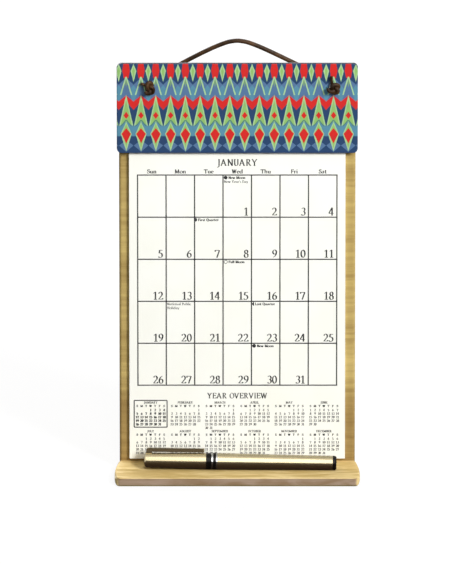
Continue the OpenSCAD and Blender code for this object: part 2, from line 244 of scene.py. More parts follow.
class Shader:
    """A material's node tree, with short calls for the nodes that are used here."""

    def __init__(self, name):
        self.material = bpy.data.materials.new(name)
        self.material.use_nodes = True
        self.tree = self.material.node_tree
        self.surface = self.tree.nodes["Principled BSDF"]
        coordinates = self.add("ShaderNodeTexCoord")
        self.place = coordinates.outputs["Object"]
        self.facing = coordinates.outputs["Normal"]

    def add(self, kind, **settings):
        node = self.tree.nodes.new(kind)
        for key, value in settings.items():
            setattr(node, key, value)
        return node

    def feed(self, socket, value):
        if isinstance(value, bpy.types.NodeSocket):
            self.tree.links.new(value, socket)
        else:
            socket.default_value = value

    def set(self, **values):
        """Sets or links inputs of the surface; underscores stand for spaces."""
        for key, value in values.items():
            self.feed(self.surface.inputs[key.replace("_", " ")], value)

    def math(self, operation, *values):
        node = self.add("ShaderNodeMath", operation=operation)
        for socket, value in zip(node.inputs, values):
            self.feed(socket, value)
        return node.outputs[0]

    def mix(self, amount, first, second, blend="MIX"):
        node = self.add("ShaderNodeMix", data_type="RGBA", blend_type=blend)
        self.feed(node.inputs[0], amount)
        self.feed(node.inputs[6], first)
        self.feed(node.inputs[7], second)
        return node.outputs[2]

    def tint(self, colour, shade):
        return self.mix(1, colour, shade, "MULTIPLY")

    def part(self, vector, axis):
        """One number of a vector."""
        node = self.add("ShaderNodeSeparateXYZ")
        self.feed(node.inputs[0], vector)
        return node.outputs[axis]

    def stretched(self, scale):
        """Object coordinates with a scale of their own along each axis."""
        node = self.add("ShaderNodeMapping")
        self.feed(node.inputs["Vector"], self.place)
        node.inputs["Scale"].default_value = scale
        return node.outputs[0]

    def noise(self, scale, detail=3, roughness=0.5, distortion=0):
        node = self.add("ShaderNodeTexNoise")
        self.feed(node.inputs["Vector"], self.stretched(scale))
        node.inputs["Scale"].default_value = 1
        node.inputs["Detail"].default_value = detail
        node.inputs["Roughness"].default_value = roughness
        node.inputs["Distortion"].default_value = distortion
        return node.outputs[0]

    def range(self, value, low, high, to_low=0, to_high=1, smooth=False):
        node = self.add("ShaderNodeMapRange", interpolation_type="SMOOTHSTEP" if smooth else "LINEAR")
        for socket, number in zip(node.inputs, (value, low, high, to_low, to_high)):
            self.feed(socket, number)
        return node.outputs[0]

    def bump(self, height, depth, strength):
        node = self.add("ShaderNodeBump")
        node.inputs["Strength"].default_value = strength
        node.inputs["Distance"].default_value = depth
        self.feed(node.inputs["Height"], height)
        self.feed(self.surface.inputs["Normal"], node.outputs[0])


# Heights between which the board's front fades into painted shade near the ledge
PALE_ABOVE = HEADER_HIGH.z - 252 * MM
DARK_BELOW = HEADER_HIGH.z - 266 * MM


def wood(name, light, dark, figure=0, painted_front_shade=None, painted_foot_shade=None):
    """Sanded wood with its grain along the object's width.

    Figure is how much slanting veins show. Faces turned to the front can take a painted
    shade, and the foot of the front a painted shade that darkens it towards the bottom.
    """
    shader = Shader(name)
    bands = shader.noise((2, 28, 28), detail=2, distortion=0.6)
    streaks = shader.noise((9, 260, 260), detail=4, roughness=0.6)
    fibres = shader.noise((70, 2600, 2600), detail=2)
    tone = shader.math("MULTIPLY_ADD", streaks, 0.8, shader.math("MULTIPLY", bands, 0.55))
    veins = shader.noise((38, 150, 150), detail=4, roughness=0.55, distortion=1.2)
    tone = shader.math("MULTIPLY_ADD", shader.math("SUBTRACT", veins, 0.5), figure, tone)
    tone = shader.range(tone, 0.475, 0.875)
    colour = shader.mix(tone, dark, light)
    colour = shader.mix(shader.range(fibres, 0.35, 0.7, 0.16, 0), colour, dark)
    forwards = shader.math("MULTIPLY", shader.part(shader.facing, "Y"), -1)
    # Painted shade: faces turned to the front are darkened, as a front lit less than the top
    if painted_front_shade:
        edge = shader.range(forwards, 0.84, 0.97)
        colour = shader.mix(edge, colour, shader.tint(colour, painted_front_shade))
    # Painted shade: the front darkens towards its foot, near the ledge; the back keeps its colour
    if painted_foot_shade:
        low = shader.range(shader.part(shader.place, "Z"), DARK_BELOW, PALE_ABOVE, 1, 0)
        low = shader.math("MULTIPLY", low, shader.range(forwards, 0, 0.5))
        colour = shader.mix(low, colour, shader.tint(colour, painted_foot_shade))
    shader.set(
        Base_Color=colour,
        Roughness=shader.range(streaks, 0.3, 0.7, 0.62, 0.48),
        Specular_IOR_Level=0.15,
    )
    shader.bump(shader.math("MULTIPLY_ADD", fibres, 0.5, streaks), 0.12 * MM, 0.5)
    return shader.material


def leather():
    shader = Shader("lace_leather")
    grain = shader.noise((900, 900, 900), detail=4, roughness=0.65)
    wear = shader.noise((140, 140, 140), detail=2)
    colour = shader.mix(shader.range(wear, 0.35, 0.75), srgb(36, 23, 11), srgb(80, 55, 32))
    shader.set(
        Base_Color=colour,
        Roughness=shader.range(grain, 0.3, 0.7, 0.36, 0.55),
        Specular_IOR_Level=0.15,
    )
    shader.bump(grain, 0.25 * MM, 0.7)
    return shader.material


def paper():
    shader = Shader("pad_paper")
    fibre = shader.noise((1400, 1400, 1400), detail=3)
    clouds = shader.noise((30, 30, 30), detail=2)
    sheets = shader.noise((4, 9000, 4), detail=1)
    colour = shader.mix(shader.range(clouds, 0.3, 0.7), srgb(250, 250, 240), srgb(253, 253, 246))
    height = shader.math("ADD", fibre, sheets)
    shader.set(Base_Color=colour, Roughness=shader.range(fibre, 0.3, 0.7, 0.8, 0.9))
    shader.bump(height, 0.02 * MM, 0.4)
    return shader.material


def ink(name, colour):
    shader = Shader(name)
    spread = shader.noise((2500, 2500, 2500), detail=2)
    pale = tuple(c * 1.5 for c in colour[:3]) + (1,)
    shader.set(
        Base_Color=shader.mix(shader.range(spread, 0.45, 0.8), colour, pale),
        Roughness=shader.range(spread, 0.3, 0.7, 0.6, 0.75),
    )
    return shader.material


# Header print: diamonds, spears and zigzags that repeat across the width

COLUMN_PITCH = 10.93 * MM
PRINT_SOFTNESS = 0.06
PRINT_WOBBLE = 0.4 * MM
ZIGZAG_SHARPNESS = 4
RAFTER_SHARPNESS = 20
TOP_LINE = 0.006
TOP_LINE_SHARPNESS = 12
EDGE = srgb(14, 24, 40)
NAVY = srgb(40, 68, 106)
BLUE = srgb(86, 118, 156)
SKY = srgb(88, 142, 166)
TEAL = srgb(76, 124, 122)
RED = srgb(212, 42, 38)
MOSS = srgb(116, 154, 118)
GREEN = srgb(144, 190, 108)
PALE_GREEN = srgb(170, 208, 150)
HARDBOARD = srgb(122, 92, 62)


class HeaderPrint(Shader):
    """Paints shapes over each other by the distance from a column and the height on the header."""

    def __init__(self):
        super().__init__("header_print")
        drift = self.noise((420, 420, 420), detail=2)
        wobble = self.math("MULTIPLY_ADD", drift, PRINT_WOBBLE, -PRINT_WOBBLE / 2)
        x = self.math("ADD", self.part(self.place, "X"), wobble)
        z = self.math("ADD", self.part(self.place, "Z"), wobble)
        half = COLUMN_PITCH / 2
        # 0 on a main column, 1 half-way to the next one
        folded = self.math("PINGPONG", self.math("SUBTRACT", x, half), half)
        self.across = self.math("DIVIDE", folded, half)
        self.between = self.math("SUBTRACT", 1, self.across)
        # 0 at the top edge of the header, 1 at its bottom edge
        height = HEADER_HIGH.z - HEADER_LOW.z
        self.down = self.math("DIVIDE", self.math("SUBTRACT", HEADER_HIGH.z, z), height)
        self.colour = NAVY

    def paint(self, colour, inside):
        """Colour where inside is above 0, with a slightly soft edge."""
        self.colour = self.mix(self.range(inside, 0, PRINT_SOFTNESS, smooth=True), self.colour, colour)

    def diamond(self, across, top, widest, bottom, half_width):
        """Positive inside a kite from top to bottom with its corners at widest."""
        upper = self.range(self.down, top, widest, 0, half_width)
        lower = self.range(self.down, widest, bottom, half_width, 0)
        return self.math("SUBTRACT", self.math("MINIMUM", upper, lower), across)

    def below(self, at_column, at_middle):
        """Positive below a zigzag line with these heights on a column and between two columns."""
        zigzag = self.math("MULTIPLY_ADD", self.across, at_middle - at_column, at_column)
        return self.math("MULTIPLY", self.math("SUBTRACT", self.down, zigzag), ZIGZAG_SHARPNESS)

    def rafter(self, top, bottom, reach, half_width):
        """Positive on a thin line that runs from a column outwards and down."""
        slant = self.range(self.down, top, bottom, 0, reach)
        near = self.math("ABSOLUTE", self.math("SUBTRACT", self.across, slant))
        band = self.math("SUBTRACT", half_width, near)
        above = self.math("MULTIPLY", self.math("SUBTRACT", bottom, self.down), RAFTER_SHARPNESS)
        under = self.math("MULTIPLY", self.math("SUBTRACT", self.down, top), RAFTER_SHARPNESS)
        return self.math("MINIMUM", band, self.math("MINIMUM", above, under))


def header_print():
    pattern = HeaderPrint()
    paint, diamond, below = pattern.paint, pattern.diamond, pattern.below
    column, middle = pattern.across, pattern.between
    # Top row of red barrels and green lozenges
    paint(RED, diamond(column, -0.206, 0.08, 0.31, 0.54))
    paint(NAVY, below(0.153, 0.153))
    paint(PALE_GREEN, diamond(middle, -0.003, 0.082, 0.212, 0.42))
    paint(GREEN, diamond(middle, 0.03, 0.082, 0.18, 0.22))
    # Blue zigzag with thin rafters
    paint(BLUE, below(0.15, 0.227))
    paint(SKY, diamond(middle, 0.236, 0.3, 0.46, 0.62))
    paint(MOSS, diamond(column, 0.15, 0.21, 0.27, 0.22))
    paint(PALE_GREEN, pattern.rafter(0.145, 0.35, 0.74, 0.12))
    # Red chevrons and the navy below them
    paint(RED, below(0.346, 0.413))
    paint(NAVY, below(0.415, 0.508))
    # Spears with a red diamond
    paint(PALE_GREEN, diamond(column, 0.335, 0.69, 1.5, 0.97))
    paint(GREEN, diamond(column, 0.39, 0.69, 1.5, 0.8))
    paint(RED, diamond(column, 0.532, 0.578, 0.62, 0.41))
    # Pale blue under a dark line, navy below it and blue diamonds along the bottom
    paint(SKY, below(0.638, 0.69))
    paint(TEAL, pattern.rafter(0.626, 0.7, 0.72, 0.12))
    paint(NAVY, below(0.795, 0.801))
    paint(BLUE, diamond(column, 0.85, 0.913, 0.984, 1.0))
    # Kites
    paint(PALE_GREEN, diamond(column, 0.643, 0.783, 0.986, 0.77))
    paint(GREEN, diamond(column, 0.664, 0.768, 0.955, 0.5))
    paint(RED, diamond(column, 0.715, 0.783, 0.896, 0.68))
    # Dark line along the top edge
    above = pattern.math("SUBTRACT", TOP_LINE, pattern.down)
    paint(EDGE, pattern.math("MULTIPLY", above, TOP_LINE_SHARPNESS))
    mottle = pattern.noise((260, 260, 260), detail=4, roughness=0.6)
    shaded = pattern.mix(pattern.range(mottle, 0.3, 0.75, 0, 0.14), pattern.colour, srgb(60, 60, 70))
    # Only the front is printed: the edges are dark and the back is bare
    backwards = pattern.part(pattern.facing, "Y")
    shaded = pattern.mix(pattern.range(backwards, -0.6, -0.3), shaded, EDGE)
    shaded = pattern.mix(pattern.range(backwards, 0.3, 0.6), shaded, HARDBOARD)
    weave = pattern.noise((1500, 1500, 1500), detail=2)
    pattern.set(
        Base_Color=shaded,
        Roughness=pattern.range(mottle, 0.3, 0.7, 0.42, 0.52),
        Specular_IOR_Level=0.2,
    )
    pattern.bump(weave, 0.015 * MM, 0.3)
    return pattern.material


def metal(name, colour, roughness, lacquer=0):
    """Turned metal, bare or under a clear lacquer."""
    shader = Shader(name)
    turning = shader.noise((9000, 60, 60), detail=2)
    smudge = shader.noise((160, 160, 160), detail=3)
    shade = tuple(c * 0.93 for c in colour[:3]) + (1,)
    shader.set(
        Base_Color=shader.mix(shader.range(smudge, 0.3, 0.7, 0, 0.5), colour, shade),
        Metallic=1.0,
        Roughness=shader.range(smudge, 0.3, 0.7, roughness * 0.94, roughness * 1.08),
        Coat_Weight=lacquer,
        Coat_Roughness=roughness,
    )
    shader.bump(turning, 0.002 * MM, 0.1)
    return shader.material


def black_plastic():
    shader = Shader("pen_black")
    haze = shader.noise((420, 420, 420), detail=3)
    shader.set(
        Base_Color=shader.mix(haze, srgb(8, 7, 6), srgb(18, 16, 14)),
        Roughness=shader.range(haze, 0.3, 0.7, 0.1, 0.16),
        Specular_IOR_Level=0.12,
    )
    shader.bump(haze, 0.01 * MM, 0.2)
    return shader.material


def ink_tube():
    shader = Shader("pen_ink")
    haze = shader.noise((300, 300, 300), detail=3)
    shader.set(
        Base_Color=shader.mix(haze, srgb(18, 22, 60), srgb(34, 40, 92)),
        Roughness=shader.range(haze, 0.3, 0.7, 0.35, 0.5),
    )
    return shader.material


MATERIALS = {
    # Painted shade on the foot of the board's front
    "board_wood": wood("board_wood", srgb(206, 182, 114), srgb(165, 139, 82), figure=0.3,
                       painted_foot_shade=srgb(216, 206, 202)),
    # Painted shade on the ledge's front face
    "ledge_wood": wood("ledge_wood", srgb(240, 216, 158), srgb(200, 171, 108), figure=1.1,
                       painted_front_shade=srgb(183, 177, 210)),
    "nail_steel": metal("nail_steel", srgb(150, 150, 152), 0.4),
    "pad_paper": paper(),
    "header_print": header_print(),
    "lace_leather": leather(),
    "pen_gold": metal("pen_gold", srgb(174, 160, 123), 0.2, lacquer=1),
    "pen_black": black_plastic(),
    "pen_silver": metal("pen_silver", srgb(165, 165, 162), 0.12),
    "pen_ink": ink_tube(),
}


def dress(thing, *materials):
    """Puts materials in a piece's slots, in place of any that it has."""
    thing.data.materials.clear()
    for material in materials:
        thing.data.materials.append(material)


for part in frame["record"]["subparts"]:
    node = bpy.data.objects.get(part["node"])
    if node:
        dress(node, MATERIALS[part["material_slot"]])
for piece in [lace] + knots:
    dress(piece, MATERIALS["lace_leather"])

# Print on the top sheet: a serif alphabet drawn with a broad nib, with capitals of height 1

NIB_WIDTH = 0.18
NIB_ANGLE = math.radians(14)
NIB_THINNEST = 0.4
LETTER_GAP = 0.11
DIGIT_STRETCH = 1.14
ARC_STEPS = 14
# Heights of the feet, of the serifs on top and of small letters
BASE = 0.03
TOP = 0.97
SMALL = 0.6


def line(*points):
    return list(points)


def stem(x, start=1, end=0):
    return line((x, start), (x, end))


def bar(left, right, y):
    return line((left, y), (right, y))


def foot(x, y=BASE, half=0.14):
    """Serif across the end of a stem."""
    return bar(x - half, x + half, y)


def arc(x, y, reach, rise, start, end, steps=ARC_STEPS):
    turns = [math.radians(start + (end - start) * k / steps) for k in range(steps + 1)]
    return [(x + reach * math.cos(turn), y + rise * math.sin(turn)) for turn in turns]


GLYPHS = {
    "0": [arc(0.26, 0.5, 0.2, 0.47, 90, 450)],
    "1": [line((0.06, 0.8), (0.26, 0.97)), stem(0.27), foot(0.27, half=0.18)],
    "2": [arc(0.25, 0.7, 0.18, 0.27, 165, -35), line((0.4, 0.55), (0.06, 0.05)), bar(0.04, 0.46, 0.06),
          line((0.46, 0.04), (0.49, 0.2))],
    "3": [arc(0.24, 0.75, 0.16, 0.22, 150, -85), arc(0.22, 0.28, 0.2, 0.26, 85, -150)],
    "4": [line((0.35, 1), (0.02, 0.29)), bar(0.01, 0.5, 0.28), stem(0.36)],
    "5": [bar(0.14, 0.46, 0.94), line((0.15, 0.96), (0.1, 0.56)), arc(0.2, 0.3, 0.22, 0.29, 112, -145)],
    "6": [arc(0.26, 0.29, 0.19, 0.27, 0, 360), arc(0.52, 0.28, 0.45, 0.69, 180, 104)],
    "7": [bar(0.04, 0.48, 0.93), line((0.47, 0.94), (0.2, 0)), line((0.04, 0.95), (0.02, 0.76))],
    "8": [arc(0.26, 0.75, 0.15, 0.22, 0, 360), arc(0.26, 0.27, 0.19, 0.26, 0, 360)],
    "9": [arc(0.26, 0.71, 0.19, 0.27, 0, 360), arc(0, 0.72, 0.45, 0.69, 0, -76)],
    "A": [line((0.06, 0), (0.38, 1)), line((0.35, 1), (0.7, 0)), bar(0.17, 0.58, 0.34),
          foot(0.06, half=0.1), foot(0.7)],
    "B": [stem(0.16), bar(0.02, 0.32, TOP), arc(0.3, 0.75, 0.2, 0.225, 90, -90), bar(0.16, 0.32, 0.52),
          arc(0.32, 0.275, 0.25, 0.25, 90, -90), bar(0.02, 0.34, BASE)],
    "C": [arc(0.42, 0.5, 0.37, 0.48, 50, 310), line((0.68, 0.98), (0.69, 0.74))],
    "D": [stem(0.16), bar(0.02, 0.34, TOP), arc(0.32, 0.5, 0.4, 0.475, 90, -90), bar(0.02, 0.34, BASE)],
    "E": [stem(0.16), bar(0.02, 0.58, TOP), bar(0.16, 0.46, 0.52), bar(0.02, 0.6, BASE),
          line((0.58, 0.98), (0.6, 0.8)), line((0.6, 0.02), (0.64, 0.22)), stem(0.46, 0.62, 0.42)],
    "F": [stem(0.16), bar(0.02, 0.58, TOP), bar(0.16, 0.46, 0.52), line((0.58, 0.98), (0.6, 0.8)),
          stem(0.46, 0.62, 0.42), foot(0.16)],
    "G": [arc(0.42, 0.5, 0.37, 0.48, 50, 330), line((0.68, 0.98), (0.69, 0.74)),
          stem(0.68, 0.42, 0.05), foot(0.66, 0.43)],
    "H": [stem(0.16), stem(0.64), bar(0.16, 0.64, 0.52), foot(0.16), foot(0.64), foot(0.16, TOP),
          foot(0.64, TOP)],
    "I": [stem(0.16), foot(0.16), foot(0.16, TOP)],
    "J": [stem(0.26, 1, 0.02), arc(0.1, 0, 0.15, 0.22, 0, -130), foot(0.26, TOP)],
    "L": [stem(0.16), bar(0.02, 0.58, BASE), line((0.58, 0.02), (0.62, 0.24)), foot(0.16, TOP)],
    "M": [line((0.17, 1), (0.14, 0)), line((0.15, 1), (0.52, 0.04)), line((0.52, 0.04), (0.9, 1)),
          line((0.88, 1), (0.92, 0)), foot(0.14), foot(0.92)],
    "N": [line((0.14, 1), (0.141, 0)), line((0.1, 1), (0.68, 0)), line((0.68, 1), (0.681, 0)),
          foot(0.14, half=0.1), foot(0.08, TOP, 0.08), foot(0.68, TOP, 0.1)],
    "O": [arc(0.38, 0.5, 0.33, 0.48, 90, 450)],
    "P": [stem(0.16), bar(0.02, 0.32, TOP), arc(0.3, 0.72, 0.23, 0.255, 90, -90),
          bar(0.16, 0.32, 0.46), foot(0.16)],
    "Q": [arc(0.38, 0.5, 0.33, 0.48, 90, 450), line((0.4, 0.06), (0.78, -0.2))],
    "R": [stem(0.16), bar(0.02, 0.32, TOP), arc(0.3, 0.74, 0.23, 0.235, 90, -90), bar(0.16, 0.32, 0.5),
          line((0.32, 0.5), (0.64, 0.02)), foot(0.16), foot(0.68, half=0.08)],
    "S": [arc(0.28, 0.75, 0.21, 0.23, 40, 270), arc(0.28, 0.27, 0.24, 0.25, 90, -140),
          line((0.45, 0.98), (0.47, 0.74)), line((0.05, 0.26), (0.04, 0.03))],
    "T": [stem(0.37), bar(0.02, 0.72, TOP), line((0.04, 0.98), (0.01, 0.78)),
          line((0.7, 0.98), (0.73, 0.78)), foot(0.37)],
    "U": [stem(0.16, 1, 0.3), arc(0.38, 0.3, 0.22, 0.28, 180, 360), stem(0.6, 0.3, 1), foot(0.16, TOP),
          foot(0.6, TOP, 0.1)],
    "V": [line((0.06, 1), (0.37, 0)), line((0.35, 0), (0.68, 1)), foot(0.06, TOP, 0.1),
          foot(0.68, TOP, 0.1)],
    "W": [line((0.06, 1), (0.3, 0)), line((0.28, 0), (0.52, 0.94)), line((0.48, 1), (0.73, 0)),
          line((0.71, 0), (0.97, 1)), foot(0.06, TOP, 0.1), foot(0.97, TOP, 0.1)],
    "Y": [line((0.05, 1), (0.36, 0.46)), line((0.35, 0.46), (0.66, 1)), stem(0.36, 0.5, 0),
          foot(0.05, TOP, 0.1), foot(0.66, TOP, 0.1), foot(0.36)],
    "a": [arc(0.29, 0.43, 0.2, 0.18, 150, 0), stem(0.49, 0.44, 0.05),
          arc(0.27, 0.18, 0.21, 0.17, 50, 330), foot(0.54, half=0.07)],
    "b": [stem(0.15, 1, 0.04), arc(0.36, 0.31, 0.27, 0.3, 130, -130), foot(0.08, TOP, 0.07)],
    "c": [arc(0.31, 0.31, 0.26, 0.3, 45, 320)],
    "d": [arc(0.32, 0.31, 0.27, 0.3, 55, 305), stem(0.56), foot(0.5, TOP, 0.07), foot(0.6, half=0.07)],
    "e": [arc(0.31, 0.31, 0.26, 0.3, 15, 325), bar(0.07, 0.56, 0.37)],
    "h": [stem(0.15), arc(0.36, 0.38, 0.21, 0.23, 180, 0), stem(0.57, 0.38, 0), foot(0.08, TOP, 0.07),
          foot(0.15, half=0.12), foot(0.57, half=0.12)],
    "i": [stem(0.15, SMALL, 0), stem(0.15, 0.96, 0.82), foot(0.08, SMALL, 0.07), foot(0.15, half=0.12)],
    "l": [stem(0.15), foot(0.08, TOP, 0.07), foot(0.15, half=0.12)],
    "n": [stem(0.15, SMALL, 0), arc(0.36, 0.38, 0.21, 0.23, 180, 0), stem(0.57, 0.38, 0),
          foot(0.08, SMALL, 0.07), foot(0.15, half=0.12), foot(0.57, half=0.12)],
    "o": [arc(0.34, 0.31, 0.29, 0.3, 90, 450)],
    "r": [stem(0.15, SMALL, 0), arc(0.36, 0.38, 0.21, 0.23, 180, 60), foot(0.08, SMALL, 0.07),
          foot(0.15, half=0.12)],
    "s": [arc(0.22, 0.46, 0.15, 0.15, 40, 270), arc(0.22, 0.16, 0.17, 0.15, 90, -140)],
    "t": [stem(0.19, 0.84, 0.16), arc(0.34, 0.16, 0.15, 0.14, 180, 310), foot(0.21, SMALL, 0.19)],
    "u": [stem(0.15, SMALL, 0.24), arc(0.36, 0.24, 0.21, 0.22, 180, 360), stem(0.57, SMALL, 0),
          foot(0.08, SMALL, 0.07), foot(0.5, SMALL, 0.07), foot(0.61, half=0.07)],
    "w": [line((0.05, SMALL), (0.24, 0)), line((0.23, 0), (0.42, SMALL)), line((0.4, SMALL), (0.6, 0)),
          line((0.59, 0), (0.79, SMALL)), foot(0.06, SMALL, 0.09), foot(0.78, SMALL, 0.09)],
    "y": [line((0.06, SMALL), (0.31, 0)), line((0.56, SMALL), (0.2, -0.3)), foot(0.07, SMALL, 0.1),
          foot(0.54, SMALL, 0.09)],
    "'": [line((0.08, 1), (0.06, 0.78))],
    " ": [],
}
for digit in "0123456789":
    GLYPHS[digit] = [[(DIGIT_STRETCH * x, y) for x, y in stroke] for stroke in GLYPHS[digit]]
SPACE_WIDTH = 0.3


def glyph_width(letter):
    reach = [x for stroke in GLYPHS[letter] for x, y in stroke]
    return max(reach) if reach else SPACE_WIDTH


def text_width(text):
    return sum(glyph_width(letter) for letter in text) + LETTER_GAP * (len(text) - 1)


DARK, GREY = 0, 1


class Print:
    """Flat shapes just above the top sheet, in one mesh with a material for each ink."""

    LIFT = 0.04 * MM
    RING_STEPS = 16

    def __init__(self):
        self.mesh = bmesh.new()

    def face(self, points, tone=DARK):
        """A polygon on the sheet; points are (x, z) in metres, anticlockwise seen from the front."""
        verts = [self.mesh.verts.new((x, PAD_LOW.y - self.LIFT, z)) for x, z in points]
        self.mesh.faces.new(verts).material_index = tone

    def rule(self, left, right, low, high):
        self.face([(left, low), (right, low), (right, high), (left, high)], GREY)

    def stroke(self, points, left, low, size, weight):
        """Sweeps the nib along a stroke, thick on stems and thin on crossbars."""
        sides = []
        for i, (x, y) in enumerate(points):
            before, after = points[max(i - 1, 0)], points[min(i + 1, len(points) - 1)]
            ahead = Vector((after[0] - before[0], after[1] - before[1])).normalized()
            across = abs(ahead.x * math.sin(NIB_ANGLE) - ahead.y * math.cos(NIB_ANGLE))
            half = weight * NIB_WIDTH / 2 * max(across, NIB_THINNEST)
            aside_x, aside_y = -ahead.y * half, ahead.x * half
            sides.append(((x + aside_x, y + aside_y), (x - aside_x, y - aside_y)))
        for (a_left, a_right), (b_left, b_right) in zip(sides, sides[1:]):
            quad = [a_right, b_right, b_left, a_left]
            self.face([(left + size * x, low + size * y) for x, y in quad])

    def write(self, text, x, low, size, weight=1, align=0.5):
        """Text with its baseline at low; align is the share of its width left of x."""
        left = x - align * size * text_width(text)
        for letter in text:
            for points in GLYPHS[letter]:
                self.stroke(points, left, low, size, weight)
            left += size * (glyph_width(letter) + LETTER_GAP)

    def ring(self, x, z, outer, inner, start, end):
        """A ring from start to end in degrees, or a disc where inner is 0."""
        rims = [arc(x, z, radius, radius, start, end, self.RING_STEPS) for radius in (inner, outer)]
        steps = list(zip(*rims))
        for (a_inner, a_outer), (b_inner, b_outer) in zip(steps, steps[1:]):
            self.face([a_inner, a_outer, b_outer, b_inner] if inner else [a_outer, b_outer, (x, z)])

    def finish(self, name, *inks):
        data = bpy.data.meshes.new(name)
        self.mesh.to_mesh(data)
        self.mesh.free()
        piece = bpy.data.objects.new(name, data)
        bpy.context.collection.objects.link(piece)
        dress(piece, *inks)
        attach(piece, BODY)


YEAR = 2014
MONTH = 1
DAY_NAMES = ["Sun", "Mon", "Tue", "Wed", "Thu", "Fri", "Sat"]
WEEK = len(DAY_NAMES)
GRID_TOP = HEADER_LOW.z - 18.0 * MM
CELL_WIDTH = 21.06 * MM
CELL_HEIGHT = 32.92 * MM
GRID_ROWS = 5
GRID_LEFT = -WEEK / 2 * CELL_WIDTH
GRID_BOTTOM = GRID_TOP - GRID_ROWS * CELL_HEIGHT
GRID_LINE = 0.9 * MM
HEADING_SIZE = 5.15 * MM
HEADING_LIFT = 7.2 * MM
DAY_NAME_SIZE = 3.1 * MM
DAY_NAME_LIFT = 1.3 * MM
DAY_NAME_WEIGHT = 1.38
DIGIT_SIZE = 6.15 * MM
DIGIT_MARGIN = 2.6 * MM
DIGIT_LIFT = 1.3 * MM
NOTES = {
    1: ("new", ["New Moon", "New Year's Day"]),
    7: ("first", ["First Quarter"]),
    15: ("full", ["Full Moon"]),
    20: ("", ["National Public", "Holiday"]),
    23: ("last", ["Last Quarter"]),
    30: ("new", ["New Moon"]),
}
NOTE_SIZE = 1.95 * MM
MOON_NOTE_WEIGHT = 1.75
HOLIDAY_WEIGHT = 1.1
NOTE_INDENT = 0.8 * MM
NOTE_GAP = 0.7 * MM
NOTE_DROP = 2 * MM
NOTE_PITCH = 3.1 * MM
MOON_RADIUS = 1.45 * MM
MOON_HOLE = 1.05 * MM
MOON_MARGIN = 0.5 * MM
MOON_SPANS = {"new": (0, 360), "full": (0, 360), "first": (-90, 90), "last": (90, 270)}


def month_title(month):
    return calendar.month_name[month].upper()


def month_days(month):
    """Each day of a month with its row and column, in weeks from Sunday."""
    weekday, days = calendar.monthrange(YEAR, month)
    first = (weekday + 1) % WEEK
    for day in range(1, days + 1):
        row, column = divmod(first + day - 1, WEEK)
        yield day, row, column


def print_heading(sheet):
    sheet.write(month_title(MONTH), 0, GRID_TOP + HEADING_LIFT, HEADING_SIZE)
    for column, name in enumerate(DAY_NAMES):
        middle = GRID_LEFT + (column + 0.5) * CELL_WIDTH
        sheet.write(name, middle, GRID_TOP + DAY_NAME_LIFT, DAY_NAME_SIZE, DAY_NAME_WEIGHT)


def print_grid(sheet):
    half = GRID_LINE / 2
    right = -GRID_LEFT
    for column in range(WEEK + 1):
        x = GRID_LEFT + column * CELL_WIDTH
        sheet.rule(x - half, x + half, GRID_BOTTOM - half, GRID_TOP + half)
    for row in range(GRID_ROWS + 1):
        z = GRID_TOP - row * CELL_HEIGHT
        sheet.rule(GRID_LEFT - half, right + half, z - half, z + half)


def print_moon(sheet, phase, left, z):
    """Draws a moon right of left and returns where it ends; quarter moons are half discs."""
    start, end = MOON_SPANS[phase]
    inner = MOON_HOLE if phase == "full" else 0
    x = left if phase == "first" else left + MOON_RADIUS
    sheet.ring(x, z, MOON_RADIUS, inner, start, end)
    return x if phase == "last" else x + MOON_RADIUS


def print_days(sheet):
    for day, row, column in month_days(MONTH):
        left = GRID_LEFT + column * CELL_WIDTH
        low = GRID_TOP - (row + 1) * CELL_HEIGHT
        right = left + CELL_WIDTH - DIGIT_MARGIN
        sheet.write(str(day), right, low + DIGIT_LIFT, DIGIT_SIZE, align=1)
        phase, words = NOTES.get(day, ("", []))
        top = low + CELL_HEIGHT - NOTE_DROP
        for k, word in enumerate(words):
            place, weight = left + NOTE_INDENT, HOLIDAY_WEIGHT
            if phase and k == 0:
                place = print_moon(sheet, phase, left + MOON_MARGIN, top) + NOTE_GAP
                weight = MOON_NOTE_WEIGHT
            sheet.write(word, place, top - NOTE_SIZE / 2 - k * NOTE_PITCH, NOTE_SIZE, weight, align=0)


YEAR_HEADING = "YEAR OVERVIEW"
YEAR_HEADING_SIZE = 4.3 * MM
YEAR_HEADING_DROP = 10.4 * MM
MINI_PITCH = 25.74 * MM
MINI_DAY = 3.33 * MM
MINI_WEEK = 2.8 * MM
MINI_SIZE = 1.85 * MM
MINI_DAYS_DROP = 6 * MM
MINI_NAME_SIZE = 1.75 * MM
MINI_NAME_WEIGHT = 1.3
MINI_LETTER_SIZE = 1.6 * MM
MINI_LETTER_DROP = 2.7 * MM
MINI_LETTER_WEIGHT = 1.9
MINI_WEIGHT = 1.45
THIS_MONTH_WEIGHT = 2.15
MINI_TOP = GRID_BOTTOM - 14.5 * MM
MINI_ROW = 22.6 * MM
MINI_COLUMNS = 6
FRAME_LINE = 0.8 * MM
FRAME_REACH = 12.2 * MM
FRAME_RISE = 2.5 * MM
FRAME_DROP = 18.6 * MM


def print_year(sheet):
    sheet.write(YEAR_HEADING, 0, GRID_BOTTOM - YEAR_HEADING_DROP, YEAR_HEADING_SIZE)
    for month in range(1, 13):
        row, column = divmod(month - 1, MINI_COLUMNS)
        x = (column - (MINI_COLUMNS - 1) / 2) * MINI_PITCH
        print_small_month(sheet, month, x, MINI_TOP - row * MINI_ROW)


def print_small_month(sheet, month, x, top):
    sheet.write(month_title(month), x, top, MINI_NAME_SIZE, MINI_NAME_WEIGHT)
    middles = [x + (column - WEEK // 2) * MINI_DAY for column in range(WEEK)]
    for name, middle in zip(DAY_NAMES, middles):
        sheet.write(name[0], middle, top - MINI_LETTER_DROP, MINI_LETTER_SIZE, MINI_LETTER_WEIGHT)
    weight = THIS_MONTH_WEIGHT if month == MONTH else MINI_WEIGHT
    for day, row, column in month_days(month):
        low = top - MINI_DAYS_DROP - row * MINI_WEEK
        sheet.write(str(day), middles[column], low, MINI_SIZE, weight)
    if month == MONTH:
        print_frame(sheet, x, top)


